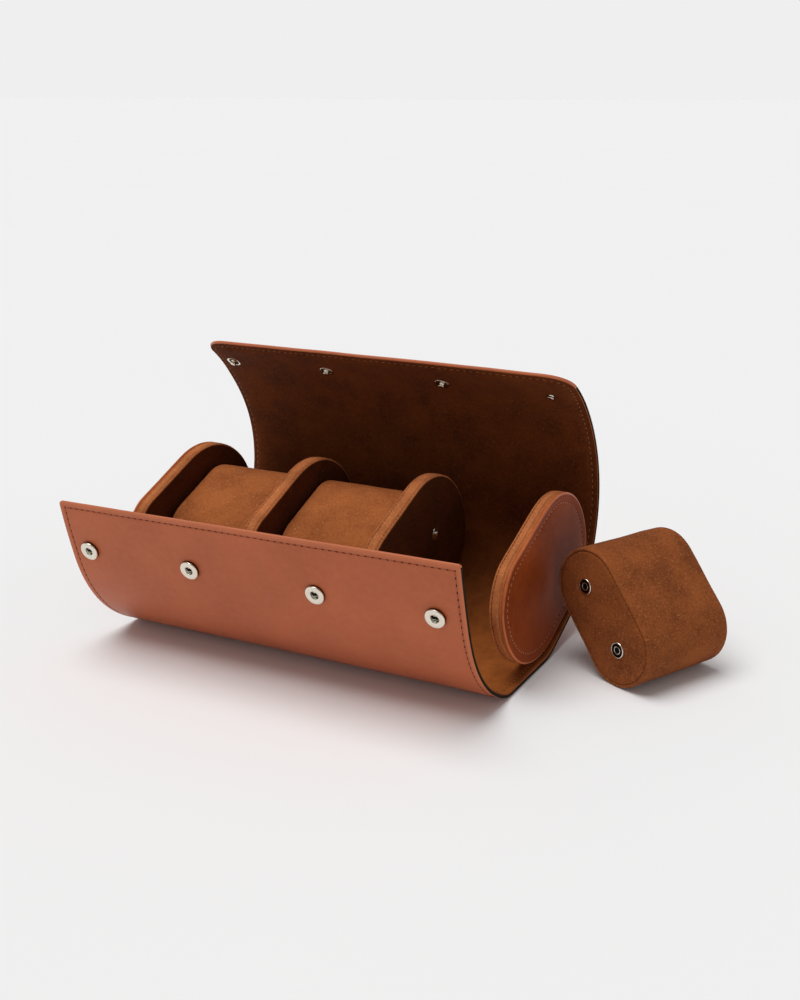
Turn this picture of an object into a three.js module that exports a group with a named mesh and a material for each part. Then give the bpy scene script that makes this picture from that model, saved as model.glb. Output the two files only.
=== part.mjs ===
// A watch roll for three watches, lying open with its third cushion taken out.
//
// Millimetres. X runs along the roll, Y to the back and Z up. The origin is on
// the flat strip that the roll rests on, midway along the roll.
//
// The wrap is one long strip of leather with a suede lining. It is cut here into
// seven stiff sections, a fixed one under the dividers, three that fold over from
// the front and three from the back, and it bends at the lines between them.

import * as THREE from 'three';

// ---- driving dimensions ----------------------------------------------------

const WRAP_WIDTH = 220;
const LEATHER_THICKNESS = 2.0;
const LINING_THICKNESS = 1.5;
const LAYER_GAP = 0.3;
const WRAP_THICKNESS = LEATHER_THICKNESS + LAYER_GAP + LINING_THICKNESS;
const LINING_INSET = 0.8;
const FRONT_CORNER_RADIUS = 2;
const REAR_CORNER_RADIUS = 15;

// The outer face of the wrap, seen from the end: a flat strip, then arcs and
// straights that curl up from it to the front edge and to the rear edge.
const FLAT_HALF_WIDTH = 23;
const FRONT_CURL = [
  { radius: 16, turn: 22 },
  { radius: 75, turn: 51 },
  { radius: 450, turn: 4.6 },
];
const REAR_CURL = [
  { radius: 20, turn: 24 },
  { length: 37 },
  { radius: 44, turn: 39.5 },
  { radius: 65, turn: 49.5 },
  { radius: 102, turn: 41.5 },
];

// Where the wrap bends, as distances along its outer face from the origin,
// negative to the front. FOLD_GAP is the slit between two sections.
const FRONT_FOLDS = [-5.6, -63, -89];
const REAR_FOLDS = [83, 115, 149];
const FOLD_GAP = 0.4;

// The dividers are boards with one outline, tilted as they sit in the wrap.
const SLOT_PITCH = 70;
const DIVIDER_THICKNESS = 7.5;
const DIVIDER_HALF_LENGTH = 53.2;
const DIVIDER_HALF_HEIGHT = 36.4;
const DIVIDER_CORNERS = { rearTop: 45, frontTop: 23, frontBottom: 48, rearBottom: 27 };
const DIVIDER_CENTRE_Y = 23.4;
const DIVIDER_CENTRE_Z = 44.2;
const DIVIDER_TILT = 22;
const RIM_THICKNESS = 1.2;
const FACING_THICKNESS = 1.3;
const FACING_INSET = 1.8;

// The cushions.
const CUSHION_LENGTH = 56;
const CUSHION_WIDTH = 72;
const CUSHION_HEIGHT = 41.5;
const CUSHION_CORNER_RADIUS = 20.4;
const COVER_THICKNESS = 1.2;
const END_PANEL_THICKNESS = 1.4;
const CUSHION_STANDOFF = 3.2;
const CUSHION_RISE = 1.8;
const CUSHION_SNAP_SPACING = 34.6;

// The loose cushion stands on the table on one rounded edge and leans on the
// right-hand end of the roll.
const LOOSE_X = 140.3;
const LOOSE_Y = 14.9;
const LOOSE_YAW = 63.7;
const LOOSE_LEAN = 47.2;

// The snap fasteners that close the roll.
const SNAP_X = [-97.2, -36.2, 33.8, 94.8];
const SOCKET_FROM_FRONT_EDGE = 28.5;
const STUD_FROM_REAR_EDGE = 23.5;

// Room left between pieces that touch.
const TOUCH_GAP = 0.3;

const CURVE_STEP = 4;
const CORNER_STEPS = 5;
const OUTLINE_SEGMENTS = 5;
const LATHE_SEGMENTS = 14;

// ---- materials ---------------------------------------------------------------

const LEATHER = { color: 0xa05c40, roughness: 0.42, metalness: 0 };
const SUEDE = { color: 0x7a4526, roughness: 0.95, metalness: 0 };
const LINING_SUEDE = { color: 0x5c331b, roughness: 0.95, metalness: 0 };
const FOAM = { color: 0xd8cfae, roughness: 0.9, metalness: 0 };
const BOARD = { color: 0x8a6a48, roughness: 0.9, metalness: 0 };
const STEEL = { color: 0xc9c6bf, roughness: 0.25, metalness: 1 };

const roll = new THREE.Group();

const radians = THREE.MathUtils.degToRad;

function addMesh(parent, name, geometry, look) {
  const mesh = new THREE.Mesh(geometry, new THREE.MeshStandardMaterial(look));
  mesh.name = name;
  parent.add(mesh);
  return mesh;
}

// ---- the curled wrap -----------------------------------------------------------

function pieceLength(piece) {
  return piece.radius ? piece.radius * radians(piece.turn) : piece.length;
}

function curlLength(curl) {
  return curl.reduce((sum, piece) => sum + pieceLength(piece), 0);
}

const FRONT_EDGE = -(FLAT_HALF_WIDTH + curlLength(FRONT_CURL));
const REAR_EDGE = FLAT_HALF_WIDTH + curlLength(REAR_CURL);

// Follows a curl for a distance from the end of the flat strip.
function walkCurl(curl, distance) {
  let y = FLAT_HALF_WIDTH;
  let z = 0;
  let heading = 0;
  let left = distance;
  for (const piece of curl) {
    const step = Math.min(left, pieceLength(piece));
    if (piece.radius) {
      const turned = heading + step / piece.radius;
      y += piece.radius * (Math.sin(turned) - Math.sin(heading));
      z += piece.radius * (Math.cos(heading) - Math.cos(turned));
      heading = turned;
    } else {
      y += step * Math.cos(heading);
      z += step * Math.sin(heading);
    }
    left -= step;
    if (left <= 0) break;
  }
  return { y, z, heading };
}

// The point a given depth inside the wrap's outer face, at a distance along it,
// and the direction that points into the roll there.
function wrapPoint(along, depth) {
  const side = along < 0 ? -1 : 1;
  const past = Math.abs(along) - FLAT_HALF_WIDTH;
  if (past <= 0) {
    return { position: new THREE.Vector3(0, along, depth), inward: new THREE.Vector3(0, 0, 1) };
  }
  const { y, z, heading } = walkCurl(side < 0 ? FRONT_CURL : REAR_CURL, past);
  const inward = new THREE.Vector3(0, -side * Math.sin(heading), Math.cos(heading));
  const position = new THREE.Vector3(0, side * y, z).addScaledVector(inward, depth);
  return { position, inward };
}

// How far the wrap's rounded corners pull its ends in, at a distance from an edge.
function cornerPull(fromEdge, radius) {
  if (fromEdge >= radius) return 0;
  const across = radius - Math.max(fromEdge, 0);
  return radius - Math.sqrt(radius * radius - across * across);
}

function halfWidthAt(along, inset) {
  const front = cornerPull(along - FRONT_EDGE - inset, FRONT_CORNER_RADIUS);
  const rear = cornerPull(REAR_EDGE - along - inset, REAR_CORNER_RADIUS);
  return WRAP_WIDTH / 2 - inset - Math.max(front, rear);
}

// Distances along a section, closer together in the rounded corners of its edge.
function rowsBetween(start, end, inset) {
  const rows = new Set([start, end]);
  const count = Math.ceil((end - start) / CURVE_STEP);
  for (let i = 1; i < count; i += 1) rows.add(start + ((end - start) * i) / count);
  for (let i = 0; i <= CORNER_STEPS; i += 1) {
    const share = 1 - Math.cos((Math.PI / 2) * (i / CORNER_STEPS));
    rows.add(FRONT_EDGE + inset + FRONT_CORNER_RADIUS * share);
    rows.add(REAR_EDGE - inset - REAR_CORNER_RADIUS * share);
  }
  const inside = [...rows].filter((along) => along >= start && along <= end);
  inside.sort((a, b) => a - b);
  return inside.filter((along, i) => i === 0 || along - inside[i - 1] > 0.02);
}

// One closed sheet of the wrap, between two distances and two depths.
function sheetGeometry(start, end, outerDepth, innerDepth, inset) {
  const rows = rowsBetween(start, end, inset);
  const vertices = [];
  const faces = [];
  for (const along of rows) {
    const half = halfWidthAt(along, inset);
    const outer = wrapPoint(along, outerDepth).position;
    const inner = wrapPoint(along, innerDepth).position;
    vertices.push(-half, outer.y, outer.z, half, outer.y, outer.z);
    vertices.push(half, inner.y, inner.z, -half, inner.y, inner.z);
  }
  for (let row = 0; row < rows.length - 1; row += 1) {
    for (let corner = 0; corner < 4; corner += 1) {
      const next = (corner + 1) % 4;
      const here = 4 * row;
      const there = here + 4;
      faces.push(here + corner, there + corner, there + next);
      faces.push(here + corner, there + next, here + next);
    }
  }
  const last = 4 * (rows.length - 1);
  faces.push(0, 1, 2, 0, 2, 3);
  faces.push(last, last + 2, last + 1, last, last + 3, last + 2);
  const geometry = new THREE.BufferGeometry();
  geometry.setAttribute('position', new THREE.Float32BufferAttribute(vertices, 3));
  geometry.setIndex(faces);
  geometry.computeVertexNormals();
  return geometry;
}

function addSection(place, start, end) {
  const from = start === FRONT_EDGE ? start : start + FOLD_GAP / 2;
  const to = end === REAR_EDGE ? end : end - FOLD_GAP / 2;
  const leather = sheetGeometry(from, to, 0, LEATHER_THICKNESS, 0);
  addMesh(roll, `wrap_${place}`, leather, LEATHER);
  const liningFrom = start === FRONT_EDGE ? start + LINING_INSET : from;
  const liningTo = end === REAR_EDGE ? end - LINING_INSET : to;
  const liningTop = LEATHER_THICKNESS + LAYER_GAP;
  const lining = sheetGeometry(liningFrom, liningTo, liningTop, WRAP_THICKNESS, LINING_INSET);
  addMesh(roll, `lining_${place}`, lining, LINING_SUEDE);
}

addSection('front_upper', FRONT_EDGE, FRONT_FOLDS[2]);
addSection('front_middle', FRONT_FOLDS[2], FRONT_FOLDS[1]);
addSection('front_lower', FRONT_FOLDS[1], FRONT_FOLDS[0]);
addSection('base', FRONT_FOLDS[0], REAR_FOLDS[0]);
addSection('rear_lower', REAR_FOLDS[0], REAR_FOLDS[1]);
addSection('rear_middle', REAR_FOLDS[1], REAR_FOLDS[2]);
addSection('rear_upper', REAR_FOLDS[2], REAR_EDGE);

// ---- snap fasteners ------------------------------------------------------------

// Both halves are turned on the Y axis, which points away from what they sit on.
function turned(profile) {
  const points = profile.map(([radius, height]) => new THREE.Vector2(radius, height));
  return new THREE.LatheGeometry(points, LATHE_SEGMENTS);
}

// A socket: a flat-topped disc with eased edges and a blind hole for the stud.
function socketGeometry(disc, hole, height) {
  return turned([
    [0, 0],
    [disc, 0],
    [disc, 0.65 * height],
    [disc - 0.15 * height, 0.88 * height],
    [disc - 0.4 * height, height],
    [hole + 0.2 * height, height],
    [hole, 0.8 * height],
    [hole, 0.2 * height],
    [0, 0.2 * height],
  ]);
}

// A stud: a thin flange and a post with a rounded head.
function studGeometry(flange, post, height) {
  return turned([
    [0, 0],
    [flange, 0],
    [flange, 0.25 * height],
    [post * 0.85, 0.4 * height],
    [post, 0.75 * height],
    [post * 0.8, 0.95 * height],
    [0, height],
  ]);
}

function placeSnap(mesh, position, direction) {
  mesh.position.copy(position);
  mesh.quaternion.setFromUnitVectors(new THREE.Vector3(0, 1, 0), direction);
}

SNAP_X.forEach((x, i) => {
  const outside = wrapPoint(FRONT_EDGE + SOCKET_FROM_FRONT_EDGE, -TOUCH_GAP);
  const socket = addMesh(roll, `front_socket_${i + 1}`, socketGeometry(5, 2, 1.9), STEEL);
  placeSnap(socket, outside.position.setX(x), outside.inward.clone().negate());

  const inside = wrapPoint(REAR_EDGE - STUD_FROM_REAR_EDGE, WRAP_THICKNESS + TOUCH_GAP);
  const stud = addMesh(roll, `rear_stud_${i + 1}`, studGeometry(4, 1.7, 2.2), STEEL);
  placeSnap(stud, inside.position.setX(x), inside.inward);
});

// ---- the tilted frame that dividers and seated cushions share ------------------

// Here X is along the divider's length, Y is square to its flats and Z is the
// roll's own X axis.
function crossFrame(tilt) {
  const along = new THREE.Vector3(0, Math.cos(radians(tilt)), Math.sin(radians(tilt)));
  const up = new THREE.Vector3(0, -Math.sin(radians(tilt)), Math.cos(radians(tilt)));
  const right = new THREE.Vector3(1, 0, 0);
  return new THREE.Matrix4().makeBasis(along, up, right);
}

const seat = new THREE.Group();
seat.quaternion.setFromRotationMatrix(crossFrame(DIVIDER_TILT));
seat.position.set(0, DIVIDER_CENTRE_Y, DIVIDER_CENTRE_Z);
roll.add(seat);

// A rectangle with its own radius at each corner, drawn in by an inset.
function roundedOutline(Outline, halfLength, halfHeight, corners, inset) {
  const x = halfLength - inset;
  const y = halfHeight - inset;
  const rearTop = corners.rearTop - inset;
  const frontTop = corners.frontTop - inset;
  const frontBottom = corners.frontBottom - inset;
  const rearBottom = corners.rearBottom - inset;
  const outline = new Outline();
  const quarter = Math.PI / 2;
  outline.absarc(x - rearTop, y - rearTop, rearTop, 0, quarter, false);
  outline.absarc(-x + frontTop, y - frontTop, frontTop, quarter, 2 * quarter, false);
  outline.absarc(-x + frontBottom, -y + frontBottom, frontBottom, 2 * quarter, 3 * quarter, false);
  outline.absarc(x - rearBottom, -y + rearBottom, rearBottom, 3 * quarter, 4 * quarter, false);
  outline.closePath();
  return outline;
}

// A plate from an outline, from local Z 0 to its thickness, with eased edges.
function plateGeometry(shape, thickness, ease) {
  const geometry = new THREE.ExtrudeGeometry(shape, {
    depth: thickness - 2 * ease,
    bevelEnabled: ease > 0,
    bevelThickness: ease,
    bevelSize: ease,
    bevelOffset: -ease,
    bevelSegments: 2,
    curveSegments: OUTLINE_SEGMENTS,
  });
  geometry.translate(0, 0, ease);
  return geometry;
}

// ---- dividers --------------------------------------------------------------------

function dividerOutline(Outline, inset) {
  return roundedOutline(
    Outline, DIVIDER_HALF_LENGTH, DIVIDER_HALF_HEIGHT, DIVIDER_CORNERS, inset,
  );
}

// A board inside a suede rim. An end divider also has a leather facing outside.
function addDivider(name, centreX, facingSide) {
  const left = centreX - DIVIDER_THICKNESS / 2;
  const ring = dividerOutline(THREE.Shape, 0);
  ring.holes.push(dividerOutline(THREE.Path, RIM_THICKNESS));
  const rim = addMesh(seat, `${name}_rim`, plateGeometry(ring, DIVIDER_THICKNESS, 0), SUEDE);
  rim.position.z = left;

  const facingRoom = facingSide === 0 ? 0 : FACING_THICKNESS + TOUCH_GAP;
  const boardThickness = DIVIDER_THICKNESS - facingRoom;
  const boardOutline = dividerOutline(THREE.Shape, RIM_THICKNESS + TOUCH_GAP);
  const board = addMesh(seat, `${name}_board`, plateGeometry(boardOutline, boardThickness, 0), BOARD);
  board.position.z = facingSide < 0 ? left + facingRoom : left;

  if (facingSide !== 0) {
    const facingOutline = dividerOutline(THREE.Shape, FACING_INSET);
    const geometry = plateGeometry(facingOutline, FACING_THICKNESS, 0.4);
    const facing = addMesh(seat, `${name}_facing`, geometry, LEATHER);
    facing.position.z = facingSide < 0 ? left : left + DIVIDER_THICKNESS - FACING_THICKNESS;
  }
}

const dividerX = (index) => (index - 1.5) * SLOT_PITCH;
addDivider('left_divider', dividerX(0), -1);
addDivider('inner_divider_1', dividerX(1), 0);
addDivider('inner_divider_2', dividerX(2), 0);
addDivider('right_divider', dividerX(3), 1);

// Two studs on the left wall of each slot hold that slot's cushion.
for (let slot = 0; slot < 3; slot += 1) {
  const wallX = dividerX(slot) + DIVIDER_THICKNESS / 2;
  ['front', 'rear'].forEach((side, i) => {
    const stud = addMesh(seat, `slot_${slot + 1}_stud_${side}`, studGeometry(3.4, 1.5, 1.5), STEEL);
    const offset = (i - 0.5) * CUSHION_SNAP_SPACING;
    const place = new THREE.Vector3(offset, CUSHION_RISE, wallX + TOUCH_GAP);
    placeSnap(stud, place, new THREE.Vector3(0, 0, 1));
  });
}

// ---- cushions ----------------------------------------------------------------------

function cushionOutline(Outline, inset) {
  const radius = CUSHION_CORNER_RADIUS;
  const corners = { rearTop: radius, frontTop: radius, frontBottom: radius, rearBottom: radius };
  return roundedOutline(Outline, CUSHION_WIDTH / 2, CUSHION_HEIGHT / 2, corners, inset);
}

// A cushion from local Z 0, its snap end, to its length: a suede sleeve round a
// foam core, closed by two stiff end panels.
function addCushion(parent, name) {
  const coreInset = END_PANEL_THICKNESS + TOUCH_GAP;
  const sleeve = cushionOutline(THREE.Shape, 0);
  sleeve.holes.push(cushionOutline(THREE.Path, COVER_THICKNESS));
  addMesh(parent, `${name}_cover`, plateGeometry(sleeve, CUSHION_LENGTH, 0), SUEDE);

  const coreOutline = cushionOutline(THREE.Shape, COVER_THICKNESS + TOUCH_GAP);
  const coreLength = CUSHION_LENGTH - 2 * coreInset;
  const core = addMesh(parent, `${name}_core`, plateGeometry(coreOutline, coreLength, 0), FOAM);
  core.position.z = coreInset;

  const panelOutline = cushionOutline(THREE.Shape, COVER_THICKNESS + TOUCH_GAP);
  const snapPanel = plateGeometry(panelOutline, END_PANEL_THICKNESS, 0.4);
  addMesh(parent, `${name}_snap_panel`, snapPanel, SUEDE);
  const plainPanel = plateGeometry(panelOutline, END_PANEL_THICKNESS, 0.4);
  const far = addMesh(parent, `${name}_plain_panel`, plainPanel, SUEDE);
  far.position.z = CUSHION_LENGTH - END_PANEL_THICKNESS;

  ['front', 'rear'].forEach((place, i) => {
    const geometry = socketGeometry(4, 1.7, 0.9);
    const socket = addMesh(parent, `${name}_socket_${place}`, geometry, STEEL);
    const offset = (i - 0.5) * CUSHION_SNAP_SPACING;
    placeSnap(socket, new THREE.Vector3(offset, 0, -TOUCH_GAP), new THREE.Vector3(0, 0, -1));
  });
}

for (let slot = 0; slot < 2; slot += 1) {
  const place = new THREE.Group();
  place.position.y = CUSHION_RISE;
  place.position.z = dividerX(slot) + DIVIDER_THICKNESS / 2 + CUSHION_STANDOFF;
  seat.add(place);
  addCushion(place, `cushion_${slot + 1}`);
}

// Height of the loose cushion's middle when its lower rounded edge is on the table.
const edgeAlong = CUSHION_WIDTH / 2 - CUSHION_CORNER_RADIUS;
const edgeAcross = CUSHION_HEIGHT / 2 - CUSHION_CORNER_RADIUS;
const looseZ = CUSHION_CORNER_RADIUS
  + edgeAlong * Math.sin(radians(LOOSE_LEAN))
  + edgeAcross * Math.cos(radians(LOOSE_LEAN));

const loose = new THREE.Group();
const yaw = new THREE.Matrix4().makeRotationZ(radians(LOOSE_YAW));
loose.quaternion.setFromRotationMatrix(yaw.multiply(crossFrame(LOOSE_LEAN)));
loose.position.set(LOOSE_X, LOOSE_Y, looseZ);
roll.add(loose);
addCushion(loose, 'cushion_3');

export default roll;
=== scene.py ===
"""The looks of an open watch roll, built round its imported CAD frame.

Shapes are worked out in millimetres, in the frame's own axes: X along the roll, Y to the
back and Z up. build_mesh turns them into metres.
"""

import math

import bpy
import numpy as np
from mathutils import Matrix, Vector, noise
from mathutils.kdtree import KDTree


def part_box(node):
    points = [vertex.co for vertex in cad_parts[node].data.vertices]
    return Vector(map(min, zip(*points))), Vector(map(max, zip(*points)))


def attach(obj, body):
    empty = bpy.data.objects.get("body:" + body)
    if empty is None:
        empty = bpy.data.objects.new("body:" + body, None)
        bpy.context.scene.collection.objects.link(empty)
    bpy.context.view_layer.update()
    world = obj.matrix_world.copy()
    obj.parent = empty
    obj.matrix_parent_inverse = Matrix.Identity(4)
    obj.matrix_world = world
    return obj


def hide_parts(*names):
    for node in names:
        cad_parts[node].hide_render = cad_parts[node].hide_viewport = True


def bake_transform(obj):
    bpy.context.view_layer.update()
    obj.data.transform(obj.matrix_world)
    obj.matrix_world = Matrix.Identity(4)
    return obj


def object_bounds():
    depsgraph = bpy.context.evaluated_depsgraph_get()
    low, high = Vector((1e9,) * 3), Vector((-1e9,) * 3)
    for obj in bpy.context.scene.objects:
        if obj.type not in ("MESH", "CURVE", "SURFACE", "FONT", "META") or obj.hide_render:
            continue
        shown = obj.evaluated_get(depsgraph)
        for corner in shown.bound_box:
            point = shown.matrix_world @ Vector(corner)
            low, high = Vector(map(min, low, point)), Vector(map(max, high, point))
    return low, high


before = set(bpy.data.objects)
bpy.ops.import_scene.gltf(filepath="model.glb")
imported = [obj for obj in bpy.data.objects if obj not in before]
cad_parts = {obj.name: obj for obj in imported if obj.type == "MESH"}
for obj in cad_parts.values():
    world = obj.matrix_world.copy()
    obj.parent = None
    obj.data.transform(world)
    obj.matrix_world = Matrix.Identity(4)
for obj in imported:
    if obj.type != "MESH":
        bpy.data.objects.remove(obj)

cad_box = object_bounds()

MM = 0.001

# ---- sizes shared with the CAD source ----

WRAP_WIDTH = 220
LEATHER_DEPTH = 3.0
WRAP_THICKNESS = 3.8
LINING_INSET = 0.6
STITCH_INSET = 3.3
FRONT_CORNER_RADIUS = 2
REAR_CORNER_RADIUS = 15
FLAT_HALF_WIDTH = 23
SNAP_X = (-97.2, -36.2, 33.8, 94.8)
SOCKET_FROM_FRONT_EDGE = 28.5
STUD_FROM_REAR_EDGE = 23.5

SLOT_PITCH = 70
DIVIDER_THICKNESS = 7.5
DIVIDER_CENTRE = (23.4, 44.2)
DIVIDER_TILT = 22
DIVIDER_HALF_SIZE = (53.2, 36.4)
DIVIDER_CORNERS = (45, 23, 48, 27)

CUSHION_HALF_SIZE = (36, 20.75)
CUSHION_CORNERS = (20.4, 20.4, 20.4, 20.4)
CUSHION_LENGTH = 56
CUSHION_STANDOFF = 3.2
CUSHION_RISE = 1.8
LOOSE_X = 140.3
LOOSE_Y = 14.9
LOOSE_YAW = 63.7
LOOSE_LEAN = 47.2


def arc(radius, turn):
    return radius * math.radians(turn), math.radians(turn)


def straight(length):
    return length, 0.0


FRONT_CURL = [arc(16, 22), arc(75, 51), arc(450, 4.6)]
REAR_CURL = [arc(20, 24), straight(37), arc(44, 39.5), arc(65, 49.5), arc(102, 41.5)]

# ---- the wrap's curl ----


def slope_table(curl):
    """Distances from the middle of the flat strip, and the slope reached at each."""
    distances, slopes = [FLAT_HALF_WIDTH], [0.0]
    for length, turn in curl:
        distances.append(distances[-1] + length)
        slopes.append(slopes[-1] + turn)
    return np.array(distances), np.array(slopes)


front_distances, front_slopes = slope_table(FRONT_CURL)
rear_distances, rear_slopes = slope_table(REAR_CURL)
FRONT_EDGE = -front_distances[-1]
REAR_EDGE = rear_distances[-1]

# The curl is tabled in steps along the wrap, with its slope eased from one arc to the next.
TABLE_START = -150
TABLE_END = 250
TABLE_STEP = 0.25
EASE = 3.0
table_along = np.arange(TABLE_START, TABLE_END + TABLE_STEP, TABLE_STEP)
sharp_slope = np.interp(
    table_along,
    np.concatenate([-front_distances[::-1], rear_distances]),
    np.concatenate([-front_slopes[::-1], rear_slopes]),
)
kernel_places = np.arange(-3 * EASE, 3 * EASE + TABLE_STEP, TABLE_STEP)
kernel = np.exp(-0.5 * (kernel_places / EASE) ** 2)
padded_slope = np.pad(sharp_slope, len(kernel) // 2, mode="edge")
table_slope = np.convolve(padded_slope, kernel / kernel.sum(), mode="valid")


def running_total(rate):
    """Sum of a rate along the wrap, from the middle of the flat strip."""
    steps = (rate[1:] + rate[:-1]) / 2 * TABLE_STEP
    total = np.concatenate([[0], np.cumsum(steps)])
    return total - np.interp(0, table_along, total)


table_y = running_total(np.cos(table_slope))
table_z = running_total(np.sin(table_slope))


def wrap_slope(along):
    return np.interp(along, table_along, table_slope)


TRIM_LENGTH = 45
REAR_CORNER_TRIM = 4.5
FRONT_EDGE_DROP = 0.4
FRONT_EDGE_SKEW = 1.7


def trimmed(x, along):
    """Hand-cut flaps: the rear one narrows to its left corner, the front one is cut askew."""
    half_way = np.asarray(x) / (WRAP_WIDTH / 2)
    up_the_rear = np.clip((along - REAR_EDGE + TRIM_LENGTH) / TRIM_LENGTH, 0, 1)
    up_the_front = np.clip((FRONT_EDGE + TRIM_LENGTH - along) / TRIM_LENGTH, 0, 1)
    drawn_in = REAR_CORNER_TRIM * up_the_rear**1.5 * np.clip(-half_way, 0, 1) ** 2
    lowered = (FRONT_EDGE_DROP - FRONT_EDGE_SKEW * half_way) * up_the_front
    return x + drawn_in, along + lowered


def wrap_point(x, along, depth):
    """Points of the wrap: across the roll, along its outer face, and in from that face."""
    x, along = trimmed(x, along)
    slope = wrap_slope(along)
    y = np.interp(along, table_along, table_y) - np.sin(slope) * depth
    z = np.interp(along, table_along, table_z) + np.cos(slope) * depth
    return np.stack(np.broadcast_arrays(x, y, z), axis=-1)


# ---- meshes ----


def add_object(name, data):
    """A new object, linked into the scene."""
    made = bpy.data.objects.new(name, data)
    bpy.context.scene.collection.objects.link(made)
    return made


def build_mesh(name, points, faces, materials, face_slots=None, corner_normals=None):
    """An object from points in millimetres, smooth shaded."""
    mesh = bpy.data.meshes.new(name)
    mesh.from_pydata((np.asarray(points, float) * MM).tolist(), [], faces)
    for material in materials:
        mesh.materials.append(material)
    if face_slots is not None:
        mesh.polygons.foreach_set("material_index", np.asarray(face_slots, np.int32))
    mesh.polygons.foreach_set("use_smooth", np.ones(len(faces), bool))
    mesh.validate()
    mesh.update()
    if corner_normals is not None:
        mesh.normals_split_custom_set(corner_normals)
    return add_object(name, mesh)


def grid_faces(first, second, closed=False):
    """Quads between two rows of vertex numbers."""
    count = len(first)
    last = count if closed else count - 1
    return [
        (first[i], first[(i + 1) % count], second[(i + 1) % count], second[i])
        for i in range(last)
    ]


def ring_numbers(count, size):
    """Vertex numbers of rings that follow on from each other."""
    return [range(i * size, (i + 1) * size) for i in range(count)]


def hubbed_faces(count, size):
    """Faces of a row of rings, closed at its two ends on the two points after the rings."""
    rings = ring_numbers(count, size)
    faces = []
    for first, second in zip(rings, rings[1:]):
        faces += grid_faces(first, second, closed=True)
    hub = count * size
    for i in range(size):
        following = (i + 1) % size
        faces.append((rings[0][following], rings[0][i], hub))
        faces.append((rings[-1][i], rings[-1][following], hub + 1))
    return faces


class Parts:
    """Collects points and faces of several closed forms into one mesh."""

    def __init__(self):
        self.points = []
        self.faces = []
        self.slots = []

    def add(self, points, faces, slot=0):
        start = len(self.points)
        self.points.extend(points)
        self.faces.extend(tuple(start + i for i in face) for face in faces)
        self.slots.extend([slot] * len(faces))

    def build(self, name, materials):
        return build_mesh(name, self.points, self.faces, materials, self.slots)


SEED_SHIFT = (17.3, 5.1, 9.7)


def soft_noise(points, size, seed=0):
    """Smooth noise from -1 to 1 at each point, with features of a size in millimetres."""
    shift = Vector([seed * part for part in SEED_SHIFT])
    return np.array([noise.noise(Vector(p) / size + shift) for p in points])


# ---- materials ----


def srgb(red, green, blue):
    """A linear colour from screen values of 0 to 255."""
    linear = []
    for value in (red, green, blue):
        share = value / 255
        low = share <= 0.04045
        linear.append(share / 12.92 if low else ((share + 0.055) / 1.055) ** 2.4)
    return (*linear, 1.0)


def per(size):
    """The noise scale for features of a size in millimetres."""
    return 1000 / size


class Nodes:
    """Adds shader nodes to a material or to the world."""

    def __init__(self, owner):
        owner.use_nodes = True
        self.nodes = owner.node_tree.nodes
        self.links = owner.node_tree.links

    def put(self, value, socket):
        if hasattr(value, "is_output"):
            self.links.new(value, socket)
        else:
            socket.default_value = value

    def node(self, kind, **inputs):
        """A new node, with each input set to a value or linked to another node's output."""
        made = self.nodes.new("ShaderNode" + kind)
        for socket, value in inputs.items():
            self.put(value, made.inputs[socket.replace("_", " ")])
        return made

    def spread(self, value, low, high, new_low=0.0, new_high=1.0):
        """A value's range low to high, stretched to new_low to new_high and held there."""
        made = self.node(
            "MapRange", Value=value, From_Min=low, From_Max=high, To_Min=new_low, To_Max=new_high,
        )
        return made.outputs["Result"]


class Finish(Nodes):
    """One procedural material round a Principled shader."""

    def __init__(self, name, coordinates="object", **constants):
        self.material = bpy.data.materials.new(name)
        super().__init__(self.material)
        self.shader = self.nodes["Principled BSDF"]
        for socket, value in constants.items():
            self.shader.inputs[socket.replace("_", " ")].default_value = value
        if coordinates == "object":
            self.place = self.node("TexCoord").outputs["Object"]
        else:
            self.place = self.attribute(coordinates, "Vector")
        self.relief = None

    def attribute(self, name, output="Fac"):
        made = self.node("Attribute")
        made.attribute_name = name
        return made.outputs[output]

    def noise(self, size, detail=2.0, rough=0.5, stretch=None):
        place = self.place
        if stretch:
            place = self.node("Mapping", Scale=stretch, Vector=place).outputs["Vector"]
        made = self.node("TexNoise", Scale=per(size), Detail=detail, Roughness=rough, Vector=place)
        return made.outputs["Fac"]

    def cells(self, size):
        made = self.node("TexVoronoi", Scale=per(size), Vector=self.place)
        made.feature = "SMOOTH_F1"
        return made.outputs["Distance"]

    def mix(self, share, first, second):
        made = self.node("Mix")
        made.data_type = "RGBA"
        for socket, value in ((0, share), (6, first), (7, second)):
            self.put(value, made.inputs[socket])
        return made.outputs[2]

    def math(self, operation, first, second=0.0):
        made = self.node("Math")
        made.operation = operation
        self.put(first, made.inputs[0])
        self.put(second, made.inputs[1])
        return made.outputs[0]

    def bump(self, height, depth, strength=1.0):
        """Adds relief of a depth in millimetres, on top of any relief before it."""
        made = self.node("Bump", Strength=strength, Distance=depth * MM, Height=height)
        if self.relief is not None:
            self.put(self.relief, made.inputs["Normal"])
        self.relief = made.outputs["Normal"]
        self.put(self.relief, self.shader.inputs["Normal"])

    def colour(self, value):
        self.put(value, self.shader.inputs["Base Color"])

    def roughness(self, value):
        self.put(value, self.shader.inputs["Roughness"])


# The leather is lighter up to this far from its edge, a painted highlight where the edge catches the
# light, and darker this close to a stitch line.
EDGE_HIGHLIGHT_REACH = 3.0
STITCH_DARKENING_REACH = (0.2, 1.0)


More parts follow.
